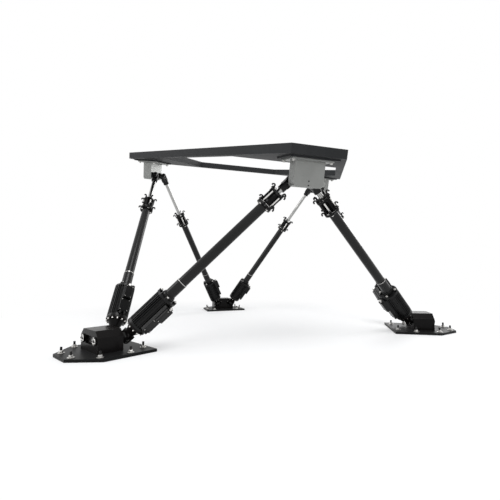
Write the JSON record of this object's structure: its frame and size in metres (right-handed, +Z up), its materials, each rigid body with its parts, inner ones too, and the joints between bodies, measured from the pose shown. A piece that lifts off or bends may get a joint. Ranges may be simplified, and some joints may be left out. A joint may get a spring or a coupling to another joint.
{
  "type": "six-leg motion base",
  "caption": "Electric parallel motion platform: telescoping legs with joints at both ends carry a tilted triangular frame on floor-bolted feet.",
  "frame": {"origin": "floor level at the centre of the circle of foot stations", "axes": "+Z up, +X outward through foot station 2, +Y completes the right-handed frame"},
  "size_m": [3.2643, 3.3942, 1.9901],
  "materials": {
    "black_plate": "satin",
    "black_casting": "satin",
    "dark_steel": "satin",
    "motor_black": "satin",
    "tube_black": "satin",
    "collar_black": "satin",
    "chromed_rod": "polished",
    "bracket_grey": "satin",
    "frame_charcoal": "matte"
  },
  "bodies": {
    "base": {"foot_plate_1": "black_plate", "pivot_housing_1": "black_casting", "foot_plate_2": "black_plate", "pivot_housing_2": "black_casting", "foot_plate_3": "black_plate", "pivot_housing_3": "black_casting"},
    "platform": {"top_bracket_1": "bracket_grey", "frame_third_1": "frame_charcoal", "top_bracket_2": "bracket_grey", "frame_third_2": "frame_charcoal", "top_bracket_3": "bracket_grey", "frame_third_3": "frame_charcoal"},
    "lower_knuckle_1": {"lower_knuckle_1": "dark_steel"},
    "cylinder_1": {"drive_yoke_1": "black_casting", "motor_1": "motor_black", "tube_1": "tube_black", "end_collar_1": "collar_black"},
    "push_rod_1": {"rod_1": "chromed_rod"},
    "rod_fork_1": {"rod_fork_1": "dark_steel"},
    "upper_knuckle_1": {"upper_knuckle_1": "dark_steel"},
    "lower_knuckle_2": {"lower_knuckle_2": "dark_steel"},
    "cylinder_2": {"drive_yoke_2": "black_casting", "motor_2": "motor_black", "tube_2": "tube_black", "end_collar_2": "collar_black"},
    "push_rod_2": {"rod_2": "chromed_rod"},
    "rod_fork_2": {"rod_fork_2": "dark_steel"},
    "upper_knuckle_2": {"upper_knuckle_2": "dark_steel"},
    "lower_knuckle_3": {"lower_knuckle_3": "dark_steel"},
    "cylinder_3": {"drive_yoke_3": "black_casting", "motor_3": "motor_black", "tube_3": "tube_black", "end_collar_3": "collar_black"},
    "push_rod_3": {"rod_3": "chromed_rod"},
    "rod_fork_3": {"rod_fork_3": "dark_steel"},
    "upper_knuckle_3": {"upper_knuckle_3": "dark_steel"},
    "lower_knuckle_4": {"lower_knuckle_4": "dark_steel"},
    "cylinder_4": {"drive_yoke_4": "black_casting", "motor_4": "motor_black", "tube_4": "tube_black", "end_collar_4": "collar_black"},
    "push_rod_4": {"rod_4": "chromed_rod"},
    "rod_fork_4": {"rod_fork_4": "dark_steel"},
    "upper_knuckle_4": {"upper_knuckle_4": "dark_steel"},
    "lower_knuckle_5": {"lower_knuckle_5": "dark_steel"},
    "cylinder_5": {"drive_yoke_5": "black_casting", "motor_5": "motor_black", "tube_5": "tube_black", "end_collar_5": "collar_black"},
    "push_rod_5": {"rod_5": "chromed_rod"},
    "rod_fork_5": {"rod_fork_5": "dark_steel"},
    "upper_knuckle_5": {"upper_knuckle_5": "dark_steel"},
    "lower_knuckle_6": {"lower_knuckle_6": "dark_steel"},
    "cylinder_6": {"drive_yoke_6": "black_casting", "motor_6": "motor_black", "tube_6": "tube_black", "end_collar_6": "collar_black"},
    "push_rod_6": {"rod_6": "chromed_rod"},
    "rod_fork_6": {"rod_fork_6": "dark_steel"},
    "upper_knuckle_6": {"upper_knuckle_6": "dark_steel"}
  },
  "joints": [
    {"name": "platform_heave", "type": "slide", "parent": "base", "child": "platform", "axis": [0, 0, 1], "range_m": [-0.05, 0.18]},
    {"name": "lower_swing_1", "type": "hinge", "parent": "base", "child": "lower_knuckle_1", "pos_m": [-0.83574, -1.24954, 0.1], "axis": [-0.5, -0.866, 0], "range_deg": [-2.53, 0.72]},
    {"name": "lower_tilt_1", "type": "hinge", "parent": "lower_knuckle_1", "child": "cylinder_1", "pos_m": [-0.83574, -1.24954, 0.1], "axis": [-0.7705, 0.4449, -0.4565], "range_deg": [-1.9, 0.54]},
    {"name": "rod_extend_1", "type": "slide", "parent": "cylinder_1", "child": "push_rod_1", "axis": [-0.1474, 0.5724, 0.8066], "range_m": [-0.04103, 0.14717]},
    {"name": "fork_swivel_1", "type": "hinge", "parent": "push_rod_1", "child": "rod_fork_1", "pos_m": [-1.124, -0.13006, 1.67754], "axis": [-0.1474, 0.5724, 0.8066], "range_deg": [-1.77, 0.51]},
    {"name": "upper_tilt_1", "type": "hinge", "parent": "rod_fork_1", "child": "upper_knuckle_1", "pos_m": [-1.124, -0.13006, 1.67754], "axis": [-0.0809, 0.8058, -0.5866], "range_deg": [-0.422, 0.132]},
    {"name": "lower_swing_2", "type": "hinge", "parent": "base", "child": "lower_knuckle_2", "pos_m": [-0.66426, -1.34854, 0.1], "axis": [-0.5, -0.866, 0], "range_deg": [-1.18, 4.18]},
    {"name": "lower_tilt_2", "type": "hinge", "parent": "lower_knuckle_2", "child": "cylinder_2", "pos_m": [-0.66426, -1.34854, 0.1], "axis": [-0.6863, 0.3962, 0.6099], "range_deg": [-2.33, 0.66]},
    {"name": "rod_extend_2", "type": "slide", "parent": "cylinder_2", "child": "push_rod_2", "axis": [0.7068, 0.1653, 0.6879], "range_m": [-0.03558, 0.12755]},
    {"name": "fork_swivel_2", "type": "hinge", "parent": "push_rod_2", "child": "rod_fork_2", "pos_m": [0.50744, -1.0745, 1.24038], "axis": [0.7068, 0.1653, 0.6879], "range_deg": [-0.57, 2]},
    {"name": "upper_tilt_2", "type": "hinge", "parent": "rod_fork_2", "child": "upper_knuckle_2", "pos_m": [0.50744, -1.0745, 1.24038], "axis": [-0.5395, -0.5031, 0.6752], "range_deg": [-1.68, 0.48]},
    {"name": "lower_swing_3", "type": "hinge", "parent": "base", "child": "lower_knuckle_3", "pos_m": [-0.83574, 1.24954, 0.1], "axis": [-0.5, 0.866, 0], "range_deg": [-0.72, 2.52]},
    {"name": "lower_tilt_3", "type": "hinge", "parent": "lower_knuckle_3", "child": "cylinder_3", "pos_m": [-0.83574, 1.24954, 0.1], "axis": [0.7649, 0.4416, 0.469], "range_deg": [-1.92, 0.55]},
    {"name": "rod_extend_3", "type": "slide", "parent": "cylinder_3", "child": "push_rod_3", "axis": [-0.1388, -0.598, 0.7894], "range_m": [-0.04019, 0.14416]},
    {"name": "fork_swivel_3", "type": "hinge", "parent": "push_rod_3", "child": "rod_fork_3", "pos_m": [-1.11919, 0.02806, 1.71241], "axis": [-0.1388, -0.598, 0.7894], "range_deg": [-0.52, 1.81]},
    {"name": "upper_tilt_3", "type": "hinge", "parent": "rod_fork_3", "child": "upper_knuckle_3", "pos_m": [-1.11919, 0.02806, 1.71241], "axis": [0.0842, 0.7871, 0.6111], "range_deg": [-0.34, 0.109]},
    {"name": "lower_swing_4", "type": "hinge", "parent": "base", "child": "lower_knuckle_4", "pos_m": [-0.66426, 1.34854, 0.1], "axis": [-0.5, 0.866, 0], "range_deg": [-2.62, 0.74]},
    {"name": "lower_tilt_4", "type": "hinge", "parent": "lower_knuckle_4", "child": "cylinder_4", "pos_m": [-0.66426, 1.34854, 0.1], "axis": [0.7578, 0.4375, -0.4841], "range_deg": [-1.95, 0.56]},
    {"name": "rod_extend_4", "type": "slide", "parent": "cylinder_4", "child": "push_rod_4", "axis": [0.6023, -0.1835, 0.7769], "range_m": [-0.03958, 0.14196]},
    {"name": "fork_swivel_4", "type": "hinge", "parent": "push_rod_4", "child": "rod_fork_4", "pos_m": [0.56967, 0.9725, 1.6918], "axis": [0.6023, -0.1835, 0.7769], "range_deg": [-1.91, 0.54]},
    {"name": "upper_tilt_4", "type": "hinge", "parent": "rod_fork_4", "child": "upper_knuckle_4", "pos_m": [0.56967, 0.9725, 1.6918], "axis": [0.7008, -0.3446, -0.6246], "range_deg": [-0.441, 0.137]},
    {"name": "lower_swing_5", "type": "hinge", "parent": "base", "child": "lower_knuckle_5", "pos_m": [1.5, -0.099, 0.1], "axis": [1, 0, 0], "range_deg": [-4.22, 1.19]},
    {"name": "lower_tilt_5", "type": "hinge", "parent": "lower_knuckle_5", "child": "cylinder_5", "pos_m": [1.5, -0.099, 0.1], "axis": [0, -0.7857, -0.6186], "range_deg": [-2.33, 0.66]},
    {"name": "rod_extend_5", "type": "slide", "parent": "cylinder_5", "child": "push_rod_5", "axis": [-0.5065, -0.5334, 0.6775], "range_m": [-0.03505, 0.12567]},
    {"name": "fork_swivel_5", "type": "hinge", "parent": "push_rod_5", "child": "rod_fork_5", "pos_m": [0.64882, -0.99544, 1.23866], "axis": [-0.5065, -0.5334, 0.6775], "range_deg": [-2.15, 0.61]},
    {"name": "upper_tilt_5", "type": "hinge", "parent": "rod_fork_5", "child": "upper_knuckle_5", "pos_m": [0.64882, -0.99544, 1.23866], "axis": [-0.7092, -0.1893, -0.6792], "range_deg": [-1.76, 0.5]},
    {"name": "lower_swing_6", "type": "hinge", "parent": "base", "child": "lower_knuckle_6", "pos_m": [1.5, 0.099, 0.1], "axis": [1, 0, 0], "range_deg": [-0.72, 2.55]},
    {"name": "lower_tilt_6", "type": "hinge", "parent": "lower_knuckle_6", "child": "cylinder_6", "pos_m": [1.5, 0.099, 0.1], "axis": [0, -0.8905, 0.4549], "range_deg": [-1.9, 0.54]},
    {"name": "rod_extend_6", "type": "slide", "parent": "cylinder_6", "child": "push_rod_6", "axis": [-0.4138, 0.4141, 0.8107], "range_m": [-0.04124, 0.14794]},
    {"name": "fork_swivel_6", "type": "hinge", "parent": "push_rod_6", "child": "rod_fork_6", "pos_m": [0.70625, 0.89344, 1.6552], "axis": [-0.4138, 0.4141, 0.8107], "range_deg": [-0.48, 1.68]},
    {"name": "upper_tilt_6", "type": "hinge", "parent": "rod_fork_6", "child": "upper_knuckle_6", "pos_m": [0.70625, 0.89344, 1.6552], "axis": [0.654, -0.4843, 0.5812], "range_deg": [-0.416, 0.13]}
  ],
  "couplings": [
    {"joint": "lower_swing_1", "follows": "platform_heave", "rad_per_m": -0.24304},
    {"joint": "lower_tilt_1", "follows": "platform_heave", "rad_per_m": -0.18189},
    {"joint": "rod_extend_1", "follows": "platform_heave", "ratio": 0.8165},
    {"joint": "fork_swivel_1", "follows": "platform_heave", "rad_per_m": -0.16974},
    {"joint": "upper_tilt_1", "follows": "platform_heave", "rad_per_m": -0.038971},
    {"joint": "lower_swing_2", "follows": "platform_heave", "rad_per_m": 0.40309},
    {"joint": "lower_tilt_2", "follows": "platform_heave", "rad_per_m": -0.22396},
    {"joint": "rod_extend_2", "follows": "platform_heave", "ratio": 0.70752},
    {"joint": "fork_swivel_2", "follows": "platform_heave", "rad_per_m": 0.19178},
    {"joint": "upper_tilt_2", "follows": "platform_heave", "rad_per_m": -0.16064},
    {"joint": "lower_swing_3", "follows": "platform_heave", "rad_per_m": 0.24292},
    {"joint": "lower_tilt_3", "follows": "platform_heave", "rad_per_m": -0.18451},
    {"joint": "rod_extend_3", "follows": "platform_heave", "ratio": 0.79977},
    {"joint": "fork_swivel_3", "follows": "platform_heave", "rad_per_m": 0.17318},
    {"joint": "upper_tilt_3", "follows": "platform_heave", "rad_per_m": -0.031001},
    {"joint": "lower_swing_4", "follows": "platform_heave", "rad_per_m": -0.25213},
    {"joint": "lower_tilt_4", "follows": "platform_heave", "rad_per_m": -0.18695},
    {"joint": "rod_extend_4", "follows": "platform_heave", "ratio": 0.78757},
    {"joint": "fork_swivel_4", "follows": "platform_heave", "rad_per_m": -0.18304},
    {"joint": "upper_tilt_4", "follows": "platform_heave", "rad_per_m": -0.040862},
    {"joint": "lower_swing_5", "follows": "platform_heave", "rad_per_m": -0.407},
    {"joint": "lower_tilt_5", "follows": "platform_heave", "rad_per_m": -0.22374},
    {"joint": "rod_extend_5", "follows": "platform_heave", "ratio": 0.69707},
    {"joint": "fork_swivel_5", "follows": "platform_heave", "rad_per_m": -0.20686},
    {"joint": "upper_tilt_5", "follows": "platform_heave", "rad_per_m": -0.16854},
    {"joint": "lower_swing_6", "follows": "platform_heave", "rad_per_m": 0.24554},
    {"joint": "lower_tilt_6", "follows": "platform_heave", "rad_per_m": -0.18179},
    {"joint": "rod_extend_6", "follows": "platform_heave", "ratio": 0.82077},
    {"joint": "fork_swivel_6", "follows": "platform_heave", "rad_per_m": 0.16113},
    {"joint": "upper_tilt_6", "follows": "platform_heave", "rad_per_m": -0.03835}
  ]
}
